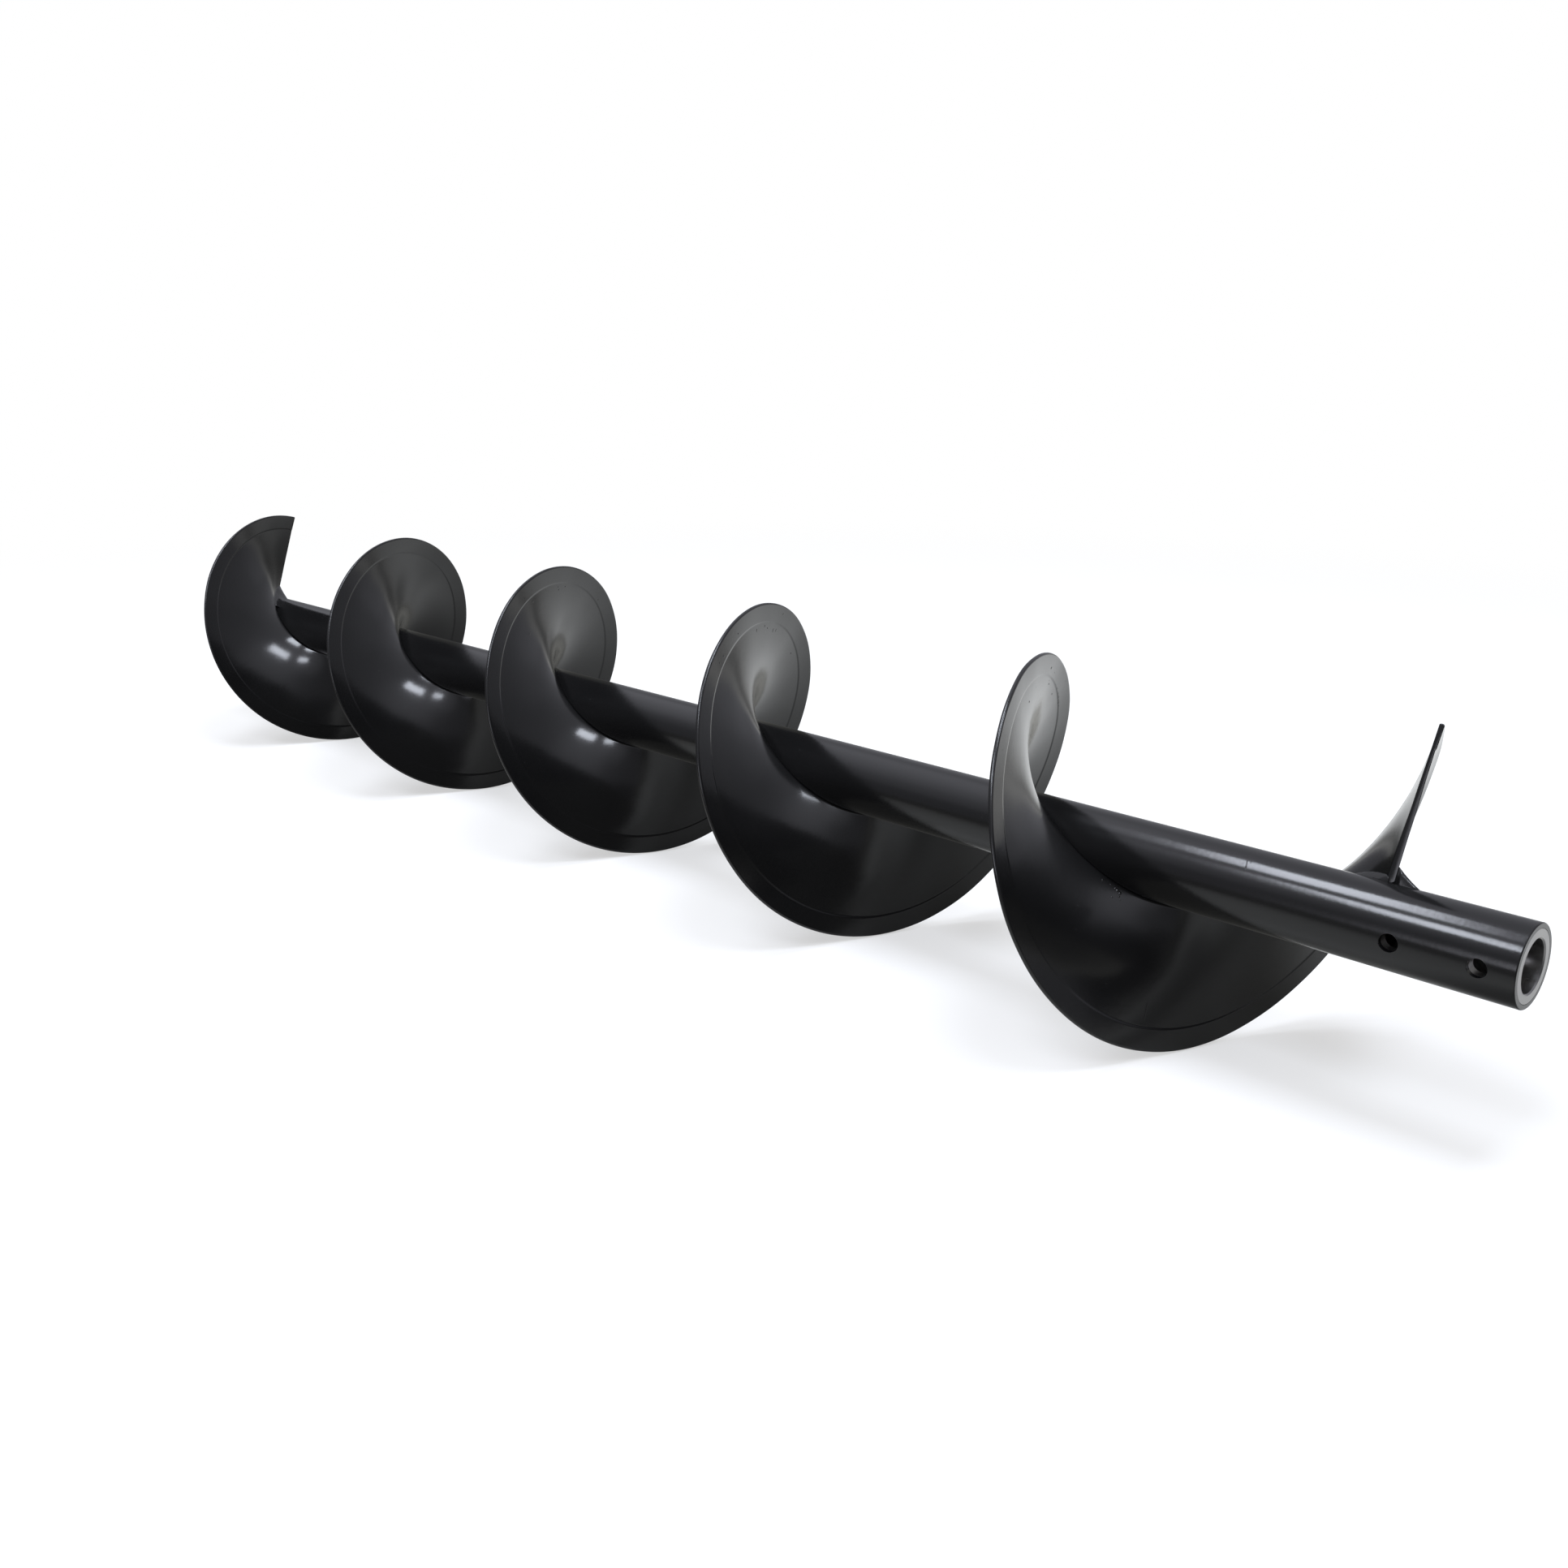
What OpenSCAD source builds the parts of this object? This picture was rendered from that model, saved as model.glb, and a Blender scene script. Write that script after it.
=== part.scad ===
// Conveyor screw: a round pipe with one continuous right-hand helicoid flight.
// The screw's axis is +X and +Z is up. The origin is the centre of the drive-end mouth.

/* [Pipe] */
// Outside diameter of the pipe
pipe_od = 60.3; // [56:0.1:64]
// Wall thickness of the pipe
pipe_wall = 3.9; // [3:0.1:5]
// Overall length of the pipe
pipe_len = 1840; // [1830:1:2100]
// Chamfer on the outer edge of each pipe mouth
pipe_chamfer = 0.8; // [0.2:0.1:1.5]

/* [Flighting] */
// Outside diameter of the flight
flight_od = 292; // [240:1:360]
// Advance of the flight in one turn
pitch = 330; // [250:1:332]
// Number of turns, a whole number so that both ends stand at one angle
turns = 5; // [2:1:5]
// Distance from the drive-end mouth to the flight's first edge
flight_start = 95; // [92:1:110]
// Angle of the flight's first edge, from +Y towards +Z
start_deg = 73.3; // [45:0.1:135]
// Thickness of the flight at its rim
rim_t = 4; // [3:0.1:5]
// Thickness of the flight at its root, where the rolled strip is thickest
root_t = 6; // [5:0.1:8]
// How far the root of the leading face sits behind its rim, along the axis
rake = 8.5; // [0:0.5:14]

/* [Rolled line near the rim] */
// Radius of the small step that the rolls leave in the leading face
line_r = 128.2; // [100:0.1:129]
// Width of the step's slope, measured along the radius
line_w = 2; // [1:0.1:4]
// Height of the step, the outer band being the higher side
line_h = 0.7; // [0.3:0.1:1.2]
// How far the outer band falls from the rim to the step
band_fall = 1.9; // [0:0.1:3]

/* [End collars] */
// Length of the bush inside each end of the pipe
collar_len = 120; // [110:1:160]
// Bore of the bush, for the coupling shaft
shaft_d = 38.1; // [30:0.1:40]
// Chamfer at both mouths of the bore
bore_chamfer = 1; // [0.5:0.1:2]
// Diameter of the coupling bolt holes
bolt_d = 13.5; // [11:0.1:14]
// Distance from the pipe mouth to the first bolt hole
bolt_first = 25; // [22:1:30]
// Distance between the two bolt holes of one end
bolt_gap = 60; // [50:1:65]

/* [Hidden] */

pipe_r = pipe_od / 2;
pipe_ri = pipe_r - pipe_wall;
rim_r = flight_od / 2;

// Steps of the helix in one turn
spt = 60;
steps = spt * turns;

// The root follows the pipe as a chord polygon, so its corners stand out by
// the chord's rise and nowhere does it cut into the pipe
root_r = (pipe_r + 0.02) / cos(180 / spt);

// Leading face, from root to rim: [radius, offset along the axis].
// The rings are spaced evenly in ratio, which keeps the twisted strips true.
front_root = rim_t / 2 - rake;
band_in = rim_t / 2 - band_fall;
step_in = band_in - line_h;
step_r = line_r - line_w;
n_front = 3;
front = concat(
    [for (i = [0 : n_front])
        let (r = root_r * pow(step_r / root_r, i / n_front))
        [r, front_root + (step_in - front_root) * (r - root_r) / (step_r - root_r)]],
    [[line_r, band_in], [rim_r, rim_t / 2]]);

// Trailing face, from rim to root, a plain straight taper
back_root = front_root - root_t;
n_back = 4;
back = [for (i = [n_back : -1 : 0])
    let (r = root_r * pow(rim_r / root_r, i / n_back))
    [r, back_root + (-rim_t / 2 - back_root) * (r - root_r) / (rim_r - root_r)]];

section = concat(front, back);
m = len(section);

function helix_point(s, j) =
    let (t = j / spt, a = start_deg + 360 * t)
    [flight_start + pitch * t + s[1], s[0] * cos(a), s[0] * sin(a)];

module flighting() {
    pts = [for (j = [0 : steps]) for (s = section) helix_point(s, j)];
    side = [for (j = [0 : steps - 1]) for (i = [0 : m - 1])
        let (a = j * m + i, b = j * m + (i + 1) % m, c = b + m, d = a + m)
        each [[a, d, b], [b, d, c]]];
    first = [[for (i = [0 : m - 1]) i]];
    last = [[for (i = [m - 1 : -1 : 0]) steps * m + i]];
    color([0.035, 0.036, 0.04])
        polyhedron(points = pts, faces = concat(side, first, last), convexity = 12);
}

// Cross holes for the coupling bolts, through both walls along Y
module bolt_holes(mouth_x, inward) {
    for (k = [0, 1])
        translate([mouth_x + inward * (bolt_first + k * bolt_gap), 0, 0])
            rotate([90, 0, 0])
                cylinder(d = bolt_d, h = pipe_od + 20, center = true, $fn = 48);
}

module pipe() {
    c = pipe_chamfer;
    color([0.035, 0.036, 0.04])
        difference() {
            rotate([0, 90, 0])
                rotate_extrude($fn = 120)
                    polygon([
                        [pipe_ri, 0], [pipe_r - c, 0], [pipe_r, c],
                        [pipe_r, pipe_len - c], [pipe_r - c, pipe_len], [pipe_ri, pipe_len]]);
            bolt_holes(0, 1);
            bolt_holes(pipe_len, -1);
        }
}

// A bush that fills the pipe's bore from its mouth inward, flush with the mouth
module collar(mouth_x, inward) {
    b = bore_chamfer;
    rb = shaft_d / 2;
    lo = inward > 0 ? mouth_x : mouth_x - collar_len;
    color([0.30, 0.30, 0.31])
        difference() {
            translate([lo, 0, 0])
                rotate([0, 90, 0])
                    rotate_extrude($fn = 96)
                        polygon([
                            [rb + b, 0], [pipe_ri, 0], [pipe_ri, collar_len],
                            [rb + b, collar_len], [rb, collar_len - b], [rb, b]]);
            bolt_holes(mouth_x, inward);
        }
}

module drive_collar() { collar(0, 1); }
module tail_collar() { collar(pipe_len, -1); }

pipe();
flighting();
drive_collar();
tail_collar();
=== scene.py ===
import math

import bmesh
import bpy
import numpy as np
from mathutils import Matrix, Vector


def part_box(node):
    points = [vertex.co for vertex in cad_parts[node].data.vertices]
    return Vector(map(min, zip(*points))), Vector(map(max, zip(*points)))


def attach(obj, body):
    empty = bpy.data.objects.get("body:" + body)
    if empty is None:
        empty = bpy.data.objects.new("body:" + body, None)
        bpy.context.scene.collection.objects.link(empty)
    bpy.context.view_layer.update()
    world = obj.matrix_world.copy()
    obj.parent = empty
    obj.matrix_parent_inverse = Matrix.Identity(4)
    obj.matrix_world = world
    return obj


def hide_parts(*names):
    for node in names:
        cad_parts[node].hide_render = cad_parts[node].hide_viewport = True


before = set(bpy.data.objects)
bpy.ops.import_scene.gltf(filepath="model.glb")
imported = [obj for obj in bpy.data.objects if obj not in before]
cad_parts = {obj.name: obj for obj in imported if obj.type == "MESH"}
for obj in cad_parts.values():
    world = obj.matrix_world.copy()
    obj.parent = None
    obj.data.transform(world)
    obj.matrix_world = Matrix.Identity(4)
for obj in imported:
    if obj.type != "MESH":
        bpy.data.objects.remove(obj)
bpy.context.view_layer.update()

MM = 0.001
scene = bpy.context.scene

# ---------------------------------------------------------------- sizes, mm
pipe_lo, pipe_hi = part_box("pipe")
PIPE_LEN = round((pipe_hi.x - pipe_lo.x) / MM, 2)
PIPE_R = 30.15
PIPE_RI = 26.25
BORE_R = 19.05
COLLAR_LEN = 120.0
PITCH = 330.0
TURNS = 5
START_X = 95.0
START_A = math.radians(73.3)
RIM_R = 145.90
STEP_R0, STEP_R1 = 126.2, 128.2


# ---------------------------------------------------------------- helpers
def mesh_object(name, verts, faces, smooth=True, sharp_deg=None):
    """A mesh object from points in mm."""
    me = bpy.data.meshes.new(name)
    me.from_pydata((np.asarray(verts, float) * MM).tolist(), [], faces)
    me.validate(clean_customdata=False)
    bm = bmesh.new()
    bm.from_mesh(me)
    bmesh.ops.recalc_face_normals(bm, faces=bm.faces)
    bm.to_mesh(me)
    bm.free()
    me.shade_smooth() if smooth else me.shade_flat()
    if smooth and sharp_deg:
        me.set_sharp_from_angle(angle=math.radians(sharp_deg))
    ob = bpy.data.objects.new(name, me)
    scene.collection.objects.link(ob)
    return ob


def helix(rho, dx, t):
    """Points at radius rho, dx along the axis from the rim's middle, t turns from the start edge."""
    a = START_A + 2 * math.pi * t
    return np.stack([START_X + PITCH * t + dx, rho * np.cos(a), rho * np.sin(a)], -1)


def smooth01(x):
    x = np.clip(x, 0, 1)
    return x * x * (3 - 2 * x)


def front(r):
    """The leading face: offset along the axis at radius r."""
    r = np.asarray(r, float)
    inner = -6.5 + 5.9 * (r - 30.19) / (STEP_R0 - 30.19)
    outer = 0.1 + 1.9 * (r - STEP_R1) / (146 - STEP_R1)
    k = smooth01((r - STEP_R0) / (STEP_R1 - STEP_R0))
    return inner * (1 - k) + outer * k


def back(r):
    """The trailing face."""
    r = np.asarray(r, float)
    return -12.5 + 10.5 * (r - 30.19) / (146 - 30.19)


def bezier(p, c, q, n):
    out = []
    for i in range(1, n):
        u = i / n
        out.append(((1 - u) ** 2 * p[0] + 2 * u * (1 - u) * c[0] + u * u * q[0],
                    (1 - u) ** 2 * p[1] + 2 * u * (1 - u) * c[1] + u * u * q[1]))
    return out


def wave(r, t):
    """The strip's slight waviness from the rolls, mm along the axis; nothing at the root."""
    s = np.clip((r - 34) / 112, 0, 1)
    w = 0.26 * np.sin(2 * np.pi * 3.13 * t + 0.4) + 0.20 * np.sin(2 * np.pi * 7.7 * t + 1.9)
    w = w + 0.07 * np.sin(2 * np.pi * 17.3 * t + 0.7)
    ring = 0.10 * np.sin(2 * np.pi * r / 47 + 2 * np.pi * 2.3 * t) * np.sin(np.pi * s)
    return w * s * s + ring


# ---------------------------------------------------------------- flight
def flight_section():
    f_r = [31.9, 32.6, 34.5, 38, 43, 50, 58, 67, 77, 88, 99, 109, 117, 122.5, 125.3]
    step = list(np.linspace(STEP_R0, STEP_R1, 7))
    band = [128.7, 130, 133.5, 138, 142, 143.7]
    pts = [(29.70, -8.2), (30.18, -8.1), (30.42, -7.55), (30.80, -7.0), (31.30, -6.62)]
    pts += [(r, float(front(r))) for r in f_r + step + band]
    a, c, b = (144.0, float(front(144.0))), (RIM_R, 1.95), (RIM_R, -0.45)
    pts += [a] + bezier(a, c, b, 10) + [b]
    a, c, b = (RIM_R, -0.75), (RIM_R, -1.99), (144.7, float(back(144.7)))
    pts += [a] + bezier(a, c, b, 5) + [b]
    b_r = [144.0, 138, 128, 114, 99, 85, 72, 60, 50, 42, 36.5, 33, 31, 29.70]
    pts += [(r, float(back(r))) for r in b_r]
    return np.array(pts)


def inward(sec):
    """Unit normals of a closed section, pointing into it."""
    n = len(sec)
    out = np.zeros_like(sec)
    area = 0.5 * sum(sec[i][0] * sec[(i + 1) % n][1] - sec[(i + 1) % n][0] * sec[i][1] for i in range(n))
    for i in range(n):
        e0 = sec[i] - sec[i - 1]
        e1 = sec[(i + 1) % n] - sec[i]
        e0 /= np.linalg.norm(e0)
        e1 /= np.linalg.norm(e1)
        v = e0 + e1
        v /= np.linalg.norm(v)
        nr = np.array([-v[1], v[0]])
        out[i] = nr if area > 0 else -nr
    return out


def build_flight():
    sec = flight_section()
    inn = inward(sec)
    n = 240 * TURNS
    rad = 0.6
    rings = []          # (inset, extra distance from the end, base t, direction)
    for k in range(3):
        th = math.radians(30 * k)
        rings.append((rad * (1 - math.sin(th)), rad * (1 - math.cos(th)), 0.0, 1))
    body = [(0.0, rad, 0.0, 1)]
    mid = [(0.0, 0.0, j / 240, 0) for j in range(1, n)]
    tail = [(0.0, rad, float(TURNS), -1)]
    ends = [(a, b, float(TURNS), -1) for a, b, _, _ in reversed(rings)]
    verts = []
    for inset, dist, t0, sgn in rings + body + mid + tail + ends:
        s = sec + inn * inset
        length = np.sqrt((2 * np.pi * s[:, 0]) ** 2 + PITCH ** 2)
        t = t0 + sgn * dist / length
        # a light edge wobble, as left by the mill, always inward
        over = np.clip((s[:, 0] - 120) / 26, 0, 1)
        r = s[:, 0] - over * (0.14 + 0.10 * np.sin(2 * np.pi * 4.6 * t + 0.8) + 0.04 * np.sin(2 * np.pi * 13.4 * t))
        verts.append(helix(r, s[:, 1] + wave(s[:, 0], t), t))
    m = len(sec)
    count = len(verts)
    verts = np.concatenate(verts)
    faces = [[i for i in range(m)], [(count - 1) * m + i for i in range(m - 1, -1, -1)]]
    for j in range(count - 1):
        for i in range(m):
            a, b = j * m + i, j * m + (i + 1) % m
            faces.append([a, b, b + m, a + m])
    return mesh_object("flight", verts, faces)


flight = build_flight()
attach(flight, "root")
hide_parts("flighting")


# ---------------------------------------------------------------- pipe
def lathe(name, prof, seg, closed=True):
    """Turns a profile of (x, radius) about the X axis."""
    prof = np.array(prof, float)
    ang = np.linspace(0, 2 * np.pi, seg, endpoint=False)
    verts = np.concatenate([np.stack([prof[:, 0], prof[:, 1] * np.cos(a), prof[:, 1] * np.sin(a)], -1) for a in ang])
    m = len(prof)
    faces = []
    last = m if closed else m - 1
    for j in range(seg):
        for i in range(last):
            a, b = j * m + i, j * m + (i + 1) % m
            c, d = ((j + 1) % seg) * m + (i + 1) % m, ((j + 1) % seg) * m + i
            faces.append([a, b, c, d])
    return mesh_object(name, verts, faces)


def cutter(name, x, y0, y1, r, flare):
    """A drill along Y from y0 to y1, flared at both mouths."""
    seg = 48
    rings = [(y0, r + flare), (y0 + 1.6, r), (y1 - 1.6, r), (y1, r + flare)]
    verts, faces = [], []
    for y, rr in rings:
        for k in range(seg):
            a = 2 * math.pi * k / seg
            verts.append((x + rr * math.cos(a), y, rr * math.sin(a)))
    for j in range(3):
        for k in range(seg):
            faces.append([j * seg + k, j * seg + (k + 1) % seg, (j + 1) * seg + (k + 1) % seg, (j + 1) * seg + k])
    faces.append(list(range(seg)))
    faces.append([3 * seg + k for k in range(seg - 1, -1, -1)])
    return mesh_object(name, verts, faces)


def drill(ob, tools):
    for c in tools:
        mod = ob.modifiers.new("d", "BOOLEAN")
        mod.operation = "DIFFERENCE"
        mod.solver = "EXACT"
        mod.object = c
    dg = bpy.context.evaluated_depsgraph_get()
    me = bpy.data.meshes.new_from_object(ob.evaluated_get(dg))
    ob.modifiers.clear()
    ob.data = me


def set_round_normals(ob, kinds):
    """Exact normals on turned and drilled faces, so that no facet shows.
    kinds: function(face centre, face normal, point) -> normal or None."""
    me = ob.data
    me.shade_smooth()
    nr = [None] * len(me.loops)
    for p in me.polygons:
        for li in p.loop_indices:
            co = me.vertices[me.loops[li].vertex_index].co
            v = kinds(p.center, p.normal, co)
            nr[li] = v if v is not None else tuple(p.normal)
    me.normals_split_custom_set(nr)


def turned_normals(c, n, co):
    """Radial on walls along X, along the hole's own radius in the cross holes, blended on chamfers."""
    rad = Vector((0, co.y, co.z)).normalized()
    d = n.dot(Vector((0, c.y, c.z)).normalized())
    if abs(n.x) < 0.25 and abs(d) > 0.93:
        return tuple(rad * (1 if d > 0 else -1))
    if abs(n.x) > 0.25 and abs(n.x) < 0.97 and abs(d) > 0.2 and abs(abs(n.x) ** 2 + d * d - 1) < 0.03:
        s = 1 if d > 0 else -1
        v = Vector((n.x, 0, 0)) + rad * s * math.sqrt(max(0.0, 1 - n.x ** 2))
        return tuple(v.normalized())
    return None


HOLES = [25.0, 85.0, PIPE_LEN - 85.0, PIPE_LEN - 25.0]


def build_pipe():
    c = 0.8
    xs = list(np.linspace(c, PIPE_LEN - c, 93))
    prof = [(0.0, PIPE_RI), (0.0, PIPE_R - c), (0.25, PIPE_R - c * 0.45)]
    prof += [(x, PIPE_R) for x in xs]
    prof += [(PIPE_LEN - 0.25, PIPE_R - c * 0.45), (PIPE_LEN, PIPE_R - c), (PIPE_LEN, PIPE_RI)]
    prof += [(x, PIPE_RI) for x in (PIPE_LEN * 0.75, PIPE_LEN * 0.5, PIPE_LEN * 0.25)]
    ob = lathe("tube", prof, 192)
    tools = []
    for i, x in enumerate(HOLES):
        for s in (-1, 1):
            y0, y1 = sorted((s * 20.0, s * 31.3))
            tools.append(cutter("cut", x, y0, y1, 6.75, 1.6))
    for t in tools:
        # only the outer mouth keeps its flare: the inner mouth lies against the bush
        y = [v.co.y for v in t.data.vertices]
        inner = min(y, key=abs)
        for v in t.data.vertices:
            if abs(v.co.y - inner) < 1e-6:
                d = Vector((v.co.x, 0, v.co.z))
                cx = Vector((sum(w.co.x for w in t.data.vertices) / len(t.data.vertices), 0, 0))
                k = (d - cx).normalized() * 6.75 * MM
                v.co.x, v.co.z = cx.x + k.x, k.z
    drill(ob, tools)
    for t in tools:
        bpy.data.objects.remove(t)
    set_round_normals(ob, turned_normals)
    return ob


tube = build_pipe()
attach(tube, "root")
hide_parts("pipe")


def build_collar(name, mouth, inward_dir):
    b = 1.0
    e = COLLAR_LEN
    prof = [(0, BORE_R + b), (0, PIPE_RI - 0.35), (0.35, PIPE_RI), (e - 0.5, PIPE_RI), (e, PIPE_RI - 0.5),
            (e, BORE_R + b), (e - b, BORE_R)]
    prof += [(x, BORE_R) for x in (e * 0.75, e * 0.5, e * 0.25)]
    prof += [(b, BORE_R)]
    prof = [(mouth + inward_dir * x, r) for x, r in prof]
    ob = lathe(name, prof, 144)
    tools = []
    for x in (25.0, 85.0):
        for s in (-1, 1):
            y0, y1 = sorted((s * 10.0, s * 30.0))
            tools.append(cutter("cut", mouth + inward_dir * x, y0, y1, 6.75, 0.0))
    drill(ob, tools)
    for t in tools:
        bpy.data.objects.remove(t)
    set_round_normals(ob, turned_normals)
    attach(ob, "root")
    return ob


drive_bush = build_collar("drive_bush", 0.0, 1)
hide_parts("drive_collar")
tail_bush = build_collar("tail_bush", PIPE_LEN, -1)
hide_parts("tail_collar")

# ---------------------------------------------------------------- weld metal
def fillet(ts, side, leg_pipe, leg_flight, blends, lump, round_start=0.0, round_end=0.0):
    """Rings of a weld in the corner between the pipe and one face of the flight.
    The legs are arrays along ts, in mm; blend 0 is the straight chord, 1 runs out
    smoothly into the flight, and a negative one bulges; lump is the unevenness."""
    verts, faces = [], []
    n_curve = 7
    count = len(ts)
    for j, t in enumerate(ts):
        lp, lf, b = leg_pipe[j], leg_flight[j], blends[j]
        k = 1.0
        if round_start > 0:
            u = min(1.0, (t - ts[0]) / round_start)
            k = min(k, math.sqrt(max(0.0, 1 - (1 - u) ** 2)))
        if round_end > 0:
            u = min(1.0, (ts[-1] - t) / round_end)
            k = min(k, math.sqrt(max(0.0, 1 - (1 - u) ** 2)))
        k = max(k, 0.02)
        lp, lf = lp * k, lf * k
        face = front if side > 0 else back
        x0 = float(face(30.19) + wave(30.19, t))
        root = (30.15, x0)
        p0 = (30.15, x0 + side * lp)
        p1 = (30.15 + lf, float(face(30.15 + lf) + wave(30.15 + lf, t)))
        mid = (0.5 * (p0[0] + p1[0]), 0.5 * (p0[1] + p1[1]))
        soft = (root[0] + 0.45 * (p1[0] - root[0]), root[1] + 0.45 * (p1[1] - root[1]))
        c = (mid[0] * (1 - b) + soft[0] * b, mid[1] * (1 - b) + soft[1] * b)
        ring = [(29.75, x0 + side * lp), p0]
        for i in range(1, n_curve):
            u = i / n_curve
            q = [(1 - u) ** 2 * p0[m] + 2 * u * (1 - u) * c[m] + u * u * p1[m] for m in (0, 1)]
            bump = lump[j] * math.sin(math.pi * u)
            w = math.hypot(lp, lf) + 1e-6
            q = (q[0] + bump * lp / w, q[1] + side * bump * lf / w)
            ring.append(q)
        ring += [p1, (30.15 + lf, p1[1] - side * 0.4), (29.75, x0 - side * 0.4)]
        ring = np.array(ring)
        verts.append(helix(ring[:, 0], ring[:, 1], np.full(len(ring), t)))
    m = len(verts[0])
    for j in range(count - 1):
        for i in range(m):
            a, b = j * m + i, j * m + (i + 1) % m
            faces.append([a, b, b + m, a + m])
    faces.append(list(range(m)))
    faces.append([(count - 1) * m + i for i in range(m - 1, -1, -1)])
    return np.concatenate(verts), faces


def ripples(ts, step, size, phase=0.0):
    """Overlapping crescents of a hand weld: sharp rise, slow fall."""
    u = np.mod(np.asarray(ts) * 381.0 / step + phase, 1.0)
    u = u + 0.12 * np.sin(2 * np.pi * np.asarray(ts) * 41.0)
    return size * (np.sin(2 * np.pi * u) + 0.35 * np.sin(4 * np.pi * u + 0.6))


def joined(name, parts):
    verts, faces, base = [], [], 0
    for v, f in parts:
        verts.append(v)
        faces += [[i + base for i in q] for q in f]
        base += len(v)
    return mesh_object(name, np.concatenate(verts), faces, sharp_deg=50)


# heavy start weld on the leading side, from the start edge down to the pipe
ts = np.linspace(-0.014, 0.158, 72)
u = np.clip(ts / 0.15, 0, 1)
lump = 0.05 * np.sin(2 * np.pi * ts * 19) * smooth01(u * 2)
start_weld = fillet(ts, 1, 29.0 - 17.5 * smooth01(u), 15.0 - 9.0 * smooth01(u), 0.15 + 0.85 * smooth01(u * 2.2), lump, 0.014, 0.012)
# its counterpart at the last edge
ts = np.linspace(4.90, 5.014, 56)
u = np.clip((ts - 4.90) / 0.10, 0, 1)
lump = 0.05 * np.sin(2 * np.pi * ts * 21) * (1 - u)
end_weld = fillet(ts, 1, 6.0 + 12.0 * smooth01(u), 4.0 + 8.0 * smooth01(u), 1.0 - 0.8 * smooth01(u), lump, 0.012, 0.014)
end_welds = joined("end_welds", [start_weld, end_weld])

# one continuous rippled bead along the trailing side
ts = np.linspace(-0.004, 5.004, 2900)
size = 5.4 + 0.35 * np.sin(2 * np.pi * ts * 2.7) + 0.25 * np.sin(2 * np.pi * ts * 9.1 + 1)
back_bead = joined("back_bead", [fillet(ts, -1, size, size * 0.92, -0.25 + 0 * ts, ripples(ts, 4.2, 0.17), 0.012, 0.012)])
for ob in (end_welds, back_bead):
    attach(ob, "root")


# ---------------------------------------------------------------- marks in the paint
def blob(centre, normal, along, length, width, height, seed):
    """A low round or long bump of paint on a surface, its skirt just under the surface."""
    rng = np.random.default_rng(seed)
    n = Vector(normal).normalized()
    a = Vector(along)
    a = (a - n * a.dot(n)).normalized()
    b = n.cross(a)
    seg, rows = 12, 4
    verts, faces = [], []
    wob = 1 + 0.16 * rng.standard_normal(seg)
    for k in range(rows):
        f = k / rows
        h = height * (1 - f ** 2) if k else height
        if k == 0:
            continue
        for i in range(seg):
            th = 2 * math.pi * i / seg
            rr = f * (1 + (wob[i] - 1) * f)
            p = Vector(centre) + a * (length / 2 * rr * math.cos(th)) + b * (width / 2 * rr * math.sin(th)) + n * h
            verts.append(p[:])
    for i in range(seg):
        th = 2 * math.pi * i / seg
        p = Vector(centre) + a * (length / 2 * wob[i] * math.cos(th)) + b * (width / 2 * wob[i] * math.sin(th)) - n * 0.12
        verts.append(p[:])
    verts.append((Vector(centre) + n * height)[:])
    top = len(verts) - 1
    for i in range(seg):
        faces.append([top, i, (i + 1) % seg])
        for k in range(rows - 1):
            c, d = k * seg + i, k * seg + (i + 1) % seg
            faces.append([c, c + seg, d + seg, d])
    faces.append([(rows - 1) * seg + i for i in range(seg - 1, -1, -1)])
    return np.array(verts), faces


def on_front(r, t):
    """Point, outward normal, radial and lengthwise directions on the leading face, in mm."""
    e = 0.05
    p = helix(np.array([r]), front(r) + wave(r, t), np.array([t]))[0]
    pr = helix(np.array([r + e]), front(r + e) + wave(r + e, t), np.array([t]))[0]
    pt = helix(np.array([r]), front(r) + wave(r, t + e / 900), np.array([t + e / 900]))[0]
    dr, dt = Vector(pr - p).normalized(), Vector(pt - p).normalized()
    n = dr.cross(dt)
    if n.x < 0:
        n = -n
    return p, n.normalized(), dr, dt


marks = []


def nib(r, t, size=1.3, height=0.28, long=1.0, radial=True):
    p, n, dr, dt = on_front(r, t)
    marks.append(blob(p, n, dr if radial else dt, size * long, size, height, len(marks) + 3))


# nibs seen in the photo: radius, turns
for r, t, size in [(122.6, 2.014, 2.2), (131.6, 1.922, 2.1), (131.9, 2.113, 2.0), (98.9, 2.139, 2.6),
                    (119.2, 2.031, 2.5), (122.6, 2.033, 1.8), (106.2, 2.286, 2.0), (121.8, 2.100, 2.6),
                    (138.0, 2.983, 2.3), (132.5, 3.097, 2.2), (132.8, 3.139, 2.4), (134.0, 3.150, 1.8),
                    (64.3, 3.187, 2.2), (138.5, 3.509, 2.5), (119.5, 2.910, 1.7), (120.8, 3.015, 1.8),
                    (133.9, 3.993, 2.7), (121.6, 3.977, 2.0), (112.1, 4.068, 2.3), (120.2, 3.945, 1.8)]:
    nib(r, t, size, 0.30)
# short radial runs just inside the rim line
for r, t, long in [(120.9, 3.047, 2.6), (123.0, 3.024, 2.0), (119.6, 2.996, 3.2), (120.6, 2.987, 3.0)]:
    nib(r, t, 1.5, 0.24, long)
# a few short ticks across the line at the head of the last turn
for r, t, long in [(127.4, 3.9385, 1.6), (127.0, 3.9320, 1.3), (127.6, 3.9265, 2.0), (127.2, 3.9222, 1.7),
                    (127.9, 3.9178, 2.1), (127.5, 3.9120, 1.5), (128.1, 3.9075, 1.9), (127.8, 3.9010, 1.4)]:
    nib(r, t, 1.5, 0.18, long)
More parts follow.
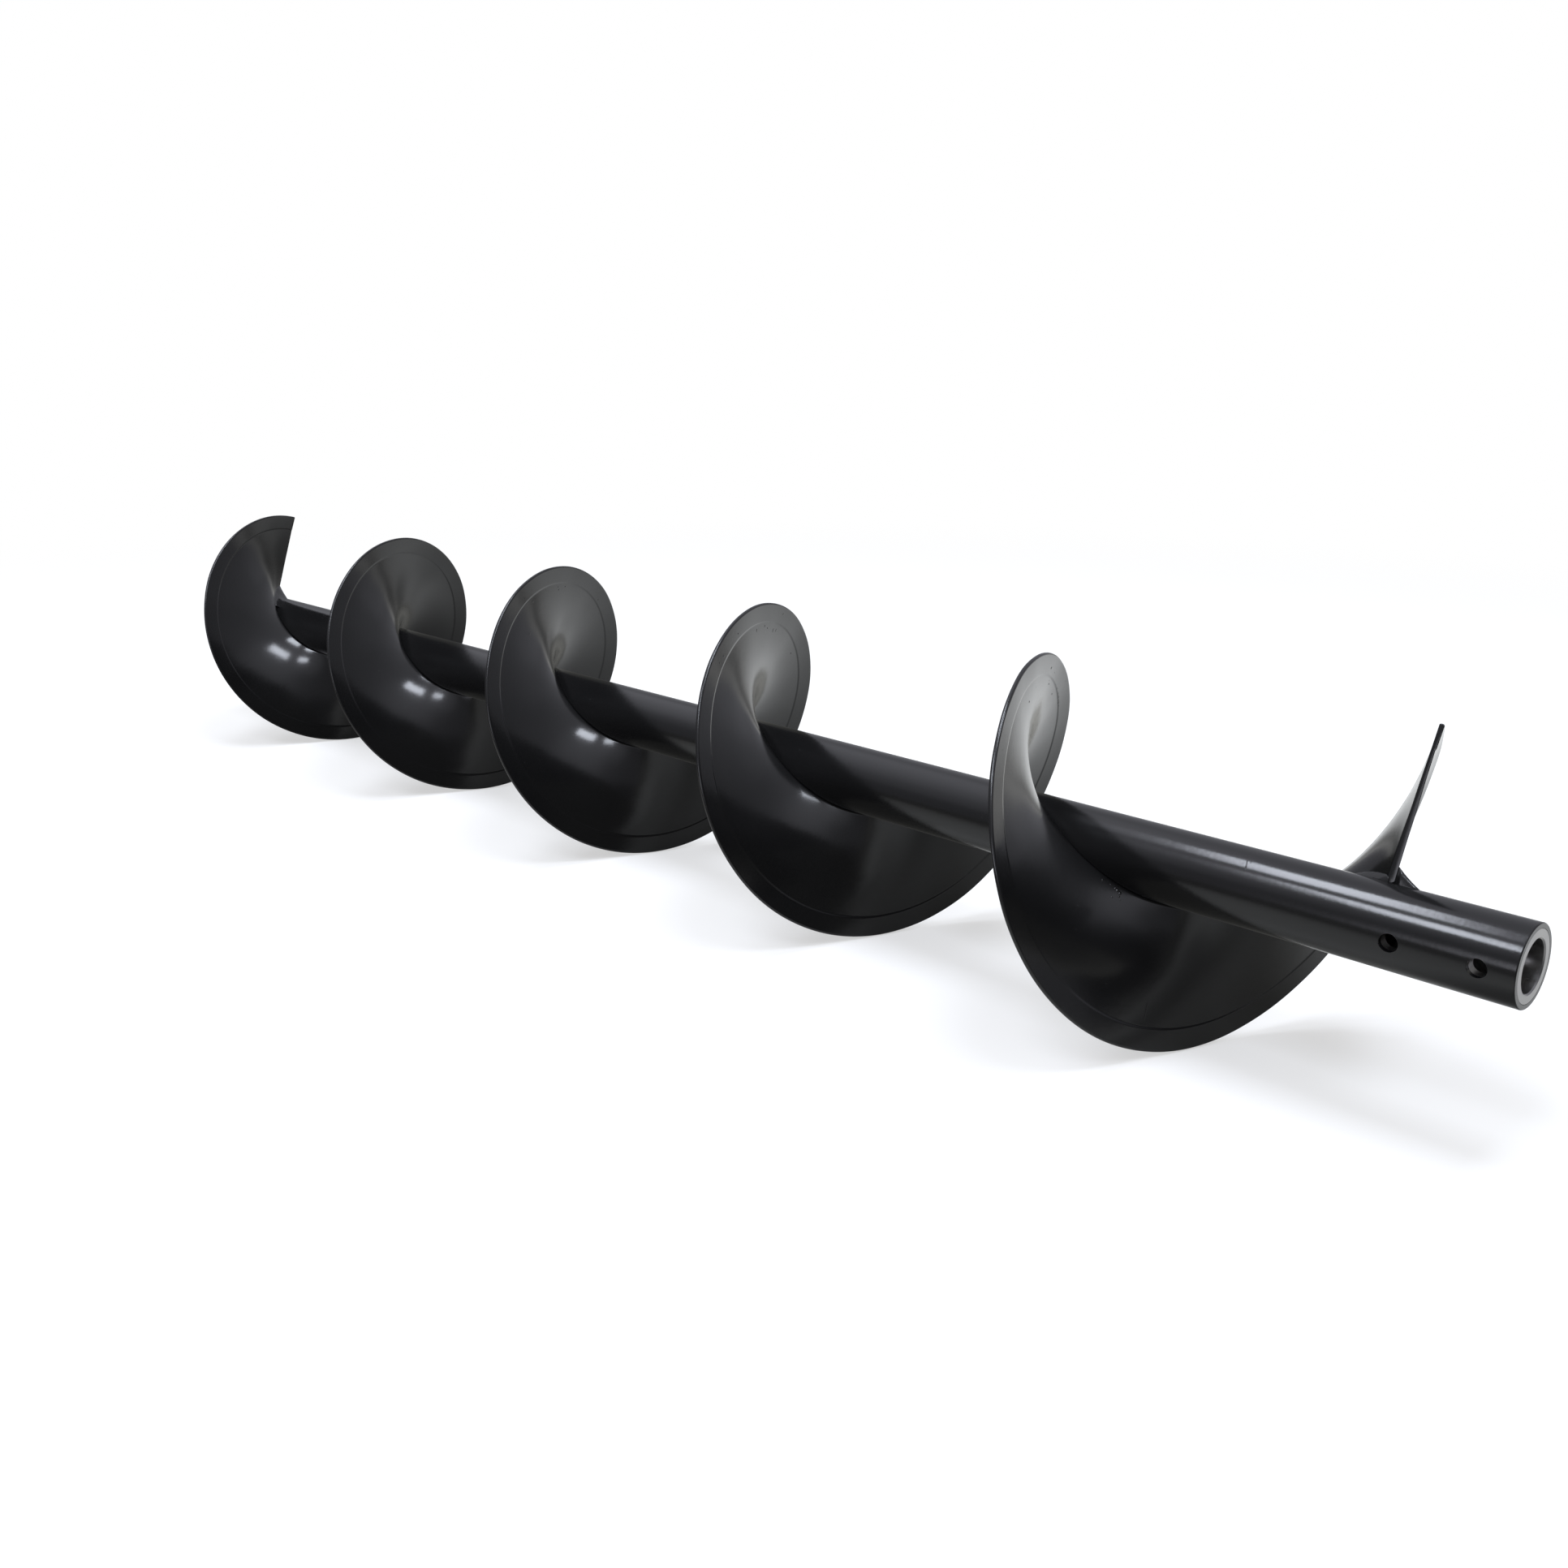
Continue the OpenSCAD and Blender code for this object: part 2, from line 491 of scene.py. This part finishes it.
# weld spatter by the root of the last turn
for r, t, size in [(35.8, 4.358, 2.3), (34.4, 4.376, 1.7), (34.9, 4.388, 2.6), (35.4, 4.3935, 2.9), (36.4, 4.4005, 3.1),
                    (34.3, 4.402, 1.6), (39.2, 4.402, 2.0), (43.0, 4.391, 1.9), (41.2, 4.407, 1.3)]:
    nib(r, t, size, 0.28 * size)
# a faint radial run low on the last turn
nib(114.0, 4.494, 1.6, 0.10, 14.0)
# sparse dust nibs everywhere else, seeded
rng = np.random.default_rng(7)
for _ in range(90):
    nib(float(rng.uniform(45, 141)), float(rng.uniform(0.06, 4.94)), float(rng.uniform(0.6, 1.1)), float(rng.uniform(0.10, 0.20)))


def on_pipe(x, deg):
    a = math.radians(deg)
    return np.array([x, PIPE_R * math.cos(a), PIPE_R * math.sin(a)]), Vector((0, math.cos(a), math.sin(a)))


# the scar across the pipe near the tail
for x, deg, long, width in [(1638.9, 122.0, 5.0, 1.0), (1640.1, 129.0, 5.5, 1.2), (1641.0, 135.5, 3.4, 0.9), (1641.6, 121.0, 2.6, 0.9)]:
    p, n = on_pipe(x, deg)
    marks.append(blob(p, n, Vector((0.30, -n.z, n.y)), long, width, 0.22, len(marks) + 3))
for _ in range(60):
    x = float(rng.uniform(20, PIPE_LEN - 20))
    deg = float(rng.uniform(0, 360))
    p, n = on_pipe(x, deg)
    marks.append(blob(p, n, Vector((1, 0, 0)), float(rng.uniform(0.6, 1.4)), 0.8, 0.14, len(marks) + 3))
paint_marks = joined("paint_marks", marks)
paint_marks.data.set_sharp_from_angle(angle=math.radians(80))
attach(paint_marks, "root")

# ---------------------------------------------------------------- materials
def new_mat(name):
    m = bpy.data.materials.new(name)
    m.use_nodes = True
    return m, m.node_tree.nodes, m.node_tree.links, m.node_tree.nodes["Principled BSDF"]


def noise(N, L, vec, scale, detail, rough, stretch=None):
    if stretch is not None:
        mp = N.new("ShaderNodeMapping")
        mp.inputs["Scale"].default_value = stretch
        L.new(vec, mp.inputs["Vector"])
        vec = mp.outputs["Vector"]
    n = N.new("ShaderNodeTexNoise")
    n.inputs["Scale"].default_value = scale
    n.inputs["Detail"].default_value = detail
    n.inputs["Roughness"].default_value = rough
    L.new(vec, n.inputs["Vector"])
    return n.outputs["Fac"]


def remap(N, L, v, a, b, c, d):
    m = N.new("ShaderNodeMapRange")
    L.new(v, m.inputs["Value"])
    for k, x in zip(("From Min", "From Max", "To Min", "To Max"), (a, b, c, d)):
        m.inputs[k].default_value = x
    return m.outputs["Result"]


def bump(N, L, height, metres, below=None):
    n = N.new("ShaderNodeBump")
    n.inputs["Strength"].default_value = 1.0
    n.inputs["Distance"].default_value = metres
    L.new(height, n.inputs["Height"])
    if below is not None:
        L.new(below, n.inputs["Normal"])
    return n.outputs["Normal"]


def mix_colour(N, L, fac, c0, c1):
    r = N.new("ShaderNodeValToRGB")
    r.color_ramp.elements[0].color = (*c0, 1)
    r.color_ramp.elements[1].color = (*c1, 1)
    L.new(fac, r.inputs["Fac"])
    return r.outputs["Color"]


def black_enamel(name, peel, rough):
    """Gloss black over steel: orange peel, a slow ripple, cloudy gloss and a little settled dust."""
    m, N, L, B = new_mat(name)
    co = N.new("ShaderNodeTexCoord").outputs["Object"]
    slow = noise(N, L, co, 34, 2, 0.5)
    cells = noise(N, L, co, 260, 2, 0.55)
    fine = noise(N, L, co, 900, 1, 0.5)
    nrm = bump(N, L, slow, 0.00010)
    nrm = bump(N, L, cells, 0.000022 * peel, nrm)
    nrm = bump(N, L, fine, 0.000003 * peel, nrm)
    L.new(nrm, B.inputs["Normal"])
    cloud = noise(N, L, co, 9, 4, 0.6)
    L.new(remap(N, L, cloud, 0.3, 0.7, rough - 0.02, rough + 0.025), B.inputs["Roughness"])
    dust = noise(N, L, co, 3200, 1, 0.6)
    speck = N.new("ShaderNodeValToRGB")
    speck.color_ramp.elements[0].position = 0.66
    speck.color_ramp.elements[1].position = 0.80
    speck.color_ramp.elements[0].color = (0.0046, 0.0046, 0.0048, 1)
    speck.color_ramp.elements[1].color = (0.0110, 0.0108, 0.0104, 1)
    L.new(dust, speck.inputs["Fac"])
    L.new(speck.outputs["Color"], B.inputs["Base Color"])
    B.inputs["IOR"].default_value = 1.5
    return m


paint = black_enamel("black_enamel", 1.0, 0.165)
pipe_paint = black_enamel("black_enamel_pipe", 1.5, 0.165)
weld_paint = black_enamel("black_enamel_weld", 3.0, 0.20)

# turned and oiled steel: fine rings round the axis, darker where the oil lies
steel, N2, L2, B2 = new_mat("turned_steel")
co2 = N2.new("ShaderNodeTexCoord").outputs["Object"]
rings = noise(N2, L2, co2, 1, 3, 0.6, (2600, 60, 60))
stain = noise(N2, L2, co2, 55, 4, 0.6)
L2.new(mix_colour(N2, L2, stain, (0.23, 0.22, 0.21), (0.44, 0.44, 0.45)), B2.inputs["Base Color"])
B2.inputs["Metallic"].default_value = 1.0
L2.new(remap(N2, L2, stain, 0.3, 0.7, 0.24, 0.42), B2.inputs["Roughness"])
L2.new(bump(N2, L2, rings, 0.00002), B2.inputs["Normal"])
for ob, m in ((flight, paint), (tube, pipe_paint), (drive_bush, steel), (tail_bush, steel),
              (end_welds, weld_paint), (back_bead, weld_paint), (paint_marks, paint)):
    ob.data.materials.clear()
    ob.data.materials.append(m)

# ---------------------------------------------------------------- camera
cam = bpy.data.cameras.new("camera")
cam.sensor_width = 36
cam.lens = 35.21
cam.clip_start = 0.05
cam.clip_end = 60
cam_ob = bpy.data.objects.new("camera", cam)
scene.collection.objects.link(cam_ob)
right = Vector((0.6997, 0.7144, 0.0)).normalized()
fwd = Vector((-0.6843, 0.6700, -0.2880))
fwd = (fwd - right * fwd.dot(right)).normalized()
up = right.cross(fwd)
rot = Matrix((right, up, -fwd)).transposed().to_4x4()
cam_ob.matrix_world = Matrix.Translation(Vector((2.15991, -1.00248, 0.40500))) @ rot
scene.camera = cam_ob

# ---------------------------------------------------------------- floor and light
scene.view_settings.view_transform = "Standard"
scene.view_settings.look = "None"
FLOOR_Z = -0.1461

me = bpy.data.meshes.new("floor")
rings = [0.0, 0.5, 1.0, 1.6, 2.4, 3.6, 6.0, 12.0, 30.0]
verts, faces = [(0.9, 0.0, FLOOR_Z)], []
SEG = 64
for r in rings[1:]:
    for k in range(SEG):
        a = 2 * math.pi * k / SEG
        verts.append((0.9 + r * math.cos(a), r * math.sin(a), FLOOR_Z))
for k in range(SEG):
    faces.append([0, 1 + k, 1 + (k + 1) % SEG])
for j in range(len(rings) - 2):
    for k in range(SEG):
        a, b = 1 + j * SEG + k, 1 + j * SEG + (k + 1) % SEG
        faces.append([a, a + SEG, b + SEG, b])
me.from_pydata(verts, [], faces)
floor = bpy.data.objects.new("floor", me)
scene.collection.objects.link(floor)
fm = bpy.data.materials.new("floor")
fm.use_nodes = True
FN, FL = fm.node_tree.nodes, fm.node_tree.links
FN.clear()
matte, lift, painted_room_glow = FN.new("ShaderNodeBsdfDiffuse"), FN.new("ShaderNodeEmission"), FN.new("ShaderNodeEmission")
matte.inputs["Color"].default_value = (0.86, 0.86, 0.86, 1)
lift.inputs["Color"].default_value = (1, 1, 1, 1)
painted_room_glow.inputs["Color"].default_value = (1.0, 1.0, 0.99, 1)


def floor_ring(x, y, r0, r1, v0, v1):
    """v0 within r0 metres of a floor point, v1 beyond r1."""
    g, d, m = FN.new("ShaderNodeNewGeometry"), FN.new("ShaderNodeVectorMath"), FN.new("ShaderNodeMapRange")
    d.operation = "DISTANCE"
    FL.new(g.outputs["Position"], d.inputs[0])
    d.inputs[1].default_value = (x, y, FLOOR_Z)
    m.interpolation_type = "SMOOTHSTEP"
    FL.new(d.outputs["Value"], m.inputs["Value"])
    for k, v in zip(("From Min", "From Max", "To Min", "To Max"), (r0, r1, v0, v1)):
        m.inputs[k].default_value = v
    return m.outputs["Result"]


def times(a, b):
    m = FN.new("ShaderNodeMath")
    m.operation = "MULTIPLY"
    FL.new(a, m.inputs[0])
    FL.new(b, m.inputs[1])
    return m.outputs[0]


fpath, fmix1, fmix2, fmix3, fmix4 = FN.new("ShaderNodeLightPath"), *[FN.new("ShaderNodeMixShader") for _ in range(4)]
# white sweep in view, fading to even white far off; in the paint's reflections it falls off into the room, where the
# floor is a painted glow instead of a lit surface
FL.new(floor_ring(0.9, 0.0, 1.2, 3.0, 0.45, 1.0), fmix1.inputs[0])
FL.new(matte.outputs[0], fmix1.inputs[1])
FL.new(lift.outputs[0], fmix1.inputs[2])
FL.new(floor_ring(1.45, 0.75, 0.75, 1.5, 0.0, 1.0), fmix2.inputs[0])
# painted shade: the floor's colour is darker in the strip under the screw; painted light: the floor beyond glows, more
# on the far side
fgeo, fsep, fabs, painted_shade_strip, ffar = (FN.new("ShaderNodeNewGeometry"), FN.new("ShaderNodeSeparateXYZ"),
                                  FN.new("ShaderNodeMath"), FN.new("ShaderNodeMapRange"), FN.new("ShaderNodeMapRange"))
FL.new(fgeo.outputs["Position"], fsep.inputs[0])
ffar.interpolation_type = "SMOOTHSTEP"
FL.new(fsep.outputs["Y"], ffar.inputs["Value"])
for k, v in zip(("From Min", "From Max", "To Min", "To Max"), (0.8, 1.9, 0.18, 0.80)):
    ffar.inputs[k].default_value = v
room_glow_level = ffar.outputs["Result"]
# painted light: patches where the room's floor glows more
for x, y, r0, r1, more in [(0.7, -0.35, 0.15, 0.5, 0.30), (2.3, -1.2, 0.3, 0.9, 0.30), (1.4, 1.6, 0.3, 0.7, 0.12),
                          (1.9, 4.9, 0.8, 2.0, 0.30)]:
    fadd = FN.new("ShaderNodeMath")
    fadd.operation = "ADD"
    FL.new(room_glow_level, fadd.inputs[0])
    FL.new(floor_ring(x, y, r0, r1, more, 0.0), fadd.inputs[1])
    room_glow_level = fadd.outputs[0]
# painted shade: patches where the room's floor glows less
for x, y, r0, r1, keep in [(0.6, 3.6, 0.7, 1.6, 0.45), (2.6, -0.3, 0.3, 1.2, 0.4), (-0.3, 2.2, 0.6, 1.2, 0.35), (1.1, 2.75, 0.3, 0.9, 0.65)]:
    room_glow_level = times(room_glow_level, floor_ring(x, y, r0, r1, keep, 1.0))
FL.new(room_glow_level, painted_room_glow.inputs["Strength"])
# painted shade: the floor's colour runs from 0.46 under the screw's middle to 0.76 beyond 0.6 m to the side
fabs.operation = "ABSOLUTE"
FL.new(fsep.outputs["Y"], fabs.inputs[0])
FL.new(fabs.outputs[0], painted_shade_strip.inputs["Value"])
for k, v in zip(("From Min", "From Max", "To Min", "To Max"), (0.02, 0.60, 0.46, 0.76)):
    painted_shade_strip.inputs[k].default_value = v
shade = FN.new("ShaderNodeBsdfDiffuse")
fcol = FN.new("ShaderNodeVectorMath")
fcol.operation = "MULTIPLY"
fcol.inputs[1].default_value = (1.0, 0.995, 0.95)
painted_floor_albedo = painted_shade_strip.outputs["Result"]
# painted light and shade in spots on the floor's colour: a painted shadow by the tail end, and darker and lighter
# patches elsewhere
for x, y, r0, r1, keep in [(1.87, -0.01, 0.08, 0.19, 0.4), (0.1, 1.0, 0.2, 0.5, 0.5), (0.40, 0.33, 0.03, 0.17, 1.40),
                           (0.56, 0.57, 0.05, 0.20, 0.80), (1.30, 1.15, 0.15, 0.50, 1.18)]:
    painted_floor_albedo = times(painted_floor_albedo, floor_ring(x, y, r0, r1, keep, 1.0))
FL.new(painted_floor_albedo, fcol.inputs[0])
FL.new(fcol.outputs[0], shade.inputs["Color"])
FL.new(shade.outputs[0], fmix2.inputs[1])
FL.new(painted_room_glow.outputs[0], fmix2.inputs[2])
# painted light: seen by way of two reflections the floor glows brighter than its lighting gives, which opens the dark
# corners by the pipe
twice, second_bounce_glow = FN.new("ShaderNodeMath"), FN.new("ShaderNodeEmission")
twice.operation = "GREATER_THAN"
FL.new(fpath.outputs["Ray Depth"], twice.inputs[0])
twice.inputs[1].default_value = 1.5
second_bounce_glow.inputs["Color"].default_value = (1.0, 1.0, 0.95, 1)
second_bounce_glow.inputs["Strength"].default_value = 1.25
FL.new(twice.outputs[0], fmix4.inputs[0])
FL.new(fmix2.outputs[0], fmix4.inputs[1])
FL.new(second_bounce_glow.outputs[0], fmix4.inputs[2])
FL.new(fpath.outputs["Is Camera Ray"], fmix3.inputs[0])
FL.new(fmix4.outputs[0], fmix3.inputs[1])
FL.new(fmix1.outputs[0], fmix3.inputs[2])
fout = FN.new("ShaderNodeOutputMaterial")
FL.new(fmix3.outputs[0], fout.inputs["Surface"])
floor.data.materials.append(fm)


def softbox(name, x, y, z, sx, sy, glow):
    """A ceiling panel that faces down; glow is its brightness, with white as 1."""
    d = bpy.data.lights.new(name, "AREA")
    d.shape = "RECTANGLE"
    d.size, d.size_y = sx, sy
    d.energy = 4 * sx * sy * glow
    d.color = (0.85, 0.90, 1.0)
    ob = bpy.data.objects.new(name, d)
    ob.location = (x, y, z)
    scene.collection.objects.link(ob)
    ob.visible_camera = False
    # the panels show once in the paint, not again in the reflection of a reflection
    d.use_nodes = True
    n, l = d.node_tree.nodes, d.node_tree.links
    lp, mt = n.new("ShaderNodeLightPath"), n.new("ShaderNodeMath")
    mt.operation = "LESS_THAN"
    l.new(lp.outputs["Ray Depth"], mt.inputs[0])
    mt.inputs[1].default_value = 2.5
    l.new(mt.outputs[0], n["Emission"].inputs["Strength"])
    return ob


softbox("panel_a", 2.06, 0.08, 3.55, 0.74, 1.60, 11.6)
softbox("panel_b", 2.05, -2.42, 3.55, 0.66, 1.30, 11.0)
softbox("panel_c", 0.17, -0.20, 3.55, 0.74, 1.40, 10.6)
softbox("panel_d", 0.22, -2.52, 3.55, 0.74, 1.32, 12.5)

world = bpy.data.worlds.new("studio")
scene.world = world
world.use_nodes = True
WN, WL = world.node_tree.nodes, world.node_tree.links
WN.clear()
coord = WN.new("ShaderNodeTexCoord")


def node_math(op, a, b=None, c=None):
    n = WN.new("ShaderNodeMath")
    n.operation = op
    for i, v in enumerate((a, b, c)):
        if v is None:
            continue
        if isinstance(v, (int, float)):
            n.inputs[i].default_value = v
        else:
            WL.new(v, n.inputs[i])
    return n.outputs[0]


def patch(az, el, r0, r1):
    """1 within r0 degrees of a direction, fading to 0 at r1."""
    a, e = math.radians(az), math.radians(el)
    n = WN.new("ShaderNodeVectorMath")
    n.operation = "DOT_PRODUCT"
    WL.new(coord.outputs["Generated"], n.inputs[0])
    n.inputs[1].default_value = (math.cos(e) * math.cos(a), math.cos(e) * math.sin(a), math.sin(e))
    m = WN.new("ShaderNodeMapRange")
    m.interpolation_type = "SMOOTHSTEP"
    WL.new(n.outputs["Value"], m.inputs["Value"])
    m.inputs["From Min"].default_value = math.cos(math.radians(r1))
    m.inputs["From Max"].default_value = math.cos(math.radians(r0))
    return m.outputs["Result"]


sep = WN.new("ShaderNodeSeparateXYZ")
WL.new(coord.outputs["Generated"], sep.inputs[0])
ramp = WN.new("ShaderNodeValToRGB")
WL.new(node_math("MULTIPLY_ADD", sep.outputs["Z"], 0.5, 0.5), ramp.inputs["Fac"])
# the room's brightness by elevation
levels = [(-90, 0.3), (-10, 0.25), (2, 0.24), (20, 0.29), (35, 0.43), (50, 0.68), (68, 0.85), (90, 0.85)]
while len(ramp.color_ramp.elements) < len(levels):
    ramp.color_ramp.elements.new(0.5)
for e, (el, v) in zip(ramp.color_ramp.elements, levels):
    e.position = 0.5 + 0.5 * math.sin(math.radians(el))
    e.color = (v, v, v, 1)
room = ramp.outputs["Color"]
for az, el, r0, r1, keep in [(-17, 4, 7, 18, 0.40), (75, 60, 12, 42, 0.80), (5, 12, 12, 27, 0.12)]:
    room = node_math("MULTIPLY", room, node_math("MULTIPLY_ADD", patch(az, el, r0, r1), keep - 1, 1))
for az, el, r0, r1, more in [(98, 8, 15, 50, 0.15), (82, 0, 5, 16, 0.14), (63, 13, 6, 20, 0.04), (-66, 43, 6, 30, 0.24),
                             (-4, 52, 10, 32, 0.20), (173, 41, 10, 34, 0.30), (-130, 40, 6, 24, 0.14), (-96, 4, 5, 17, 2.8)]:
    room = node_math("ADD", room, node_math("MULTIPLY", patch(az, el, r0, r1), more))
tint = WN.new("ShaderNodeVectorMath")
tint.operation = "MULTIPLY"
WL.new(room, tint.inputs[0])
tint.inputs[1].default_value = (0.97, 0.98, 1.08)
room = tint.outputs[0]

path = WN.new("ShaderNodeLightPath")
bg_room, bg_view = WN.new("ShaderNodeBackground"), WN.new("ShaderNodeBackground")
WL.new(room, bg_room.inputs["Color"])
bg_view.inputs["Color"].default_value = (1.0, 1.0, 1.0, 1)
bg_soft = WN.new("ShaderNodeBackground")
bg_soft.inputs["Color"].default_value = (0.76, 0.76, 0.77, 1)
mix1, mix2 = WN.new("ShaderNodeMixShader"), WN.new("ShaderNodeMixShader")
WL.new(path.outputs["Is Diffuse Ray"], mix1.inputs[0])
WL.new(bg_room.outputs[0], mix1.inputs[1])
WL.new(bg_soft.outputs[0], mix1.inputs[2])
WL.new(path.outputs["Is Camera Ray"], mix2.inputs[0])
WL.new(mix1.outputs[0], mix2.inputs[1])
WL.new(bg_view.outputs[0], mix2.inputs[2])
wout = WN.new("ShaderNodeOutputWorld")
WL.new(mix2.outputs[0], wout.inputs["Surface"])
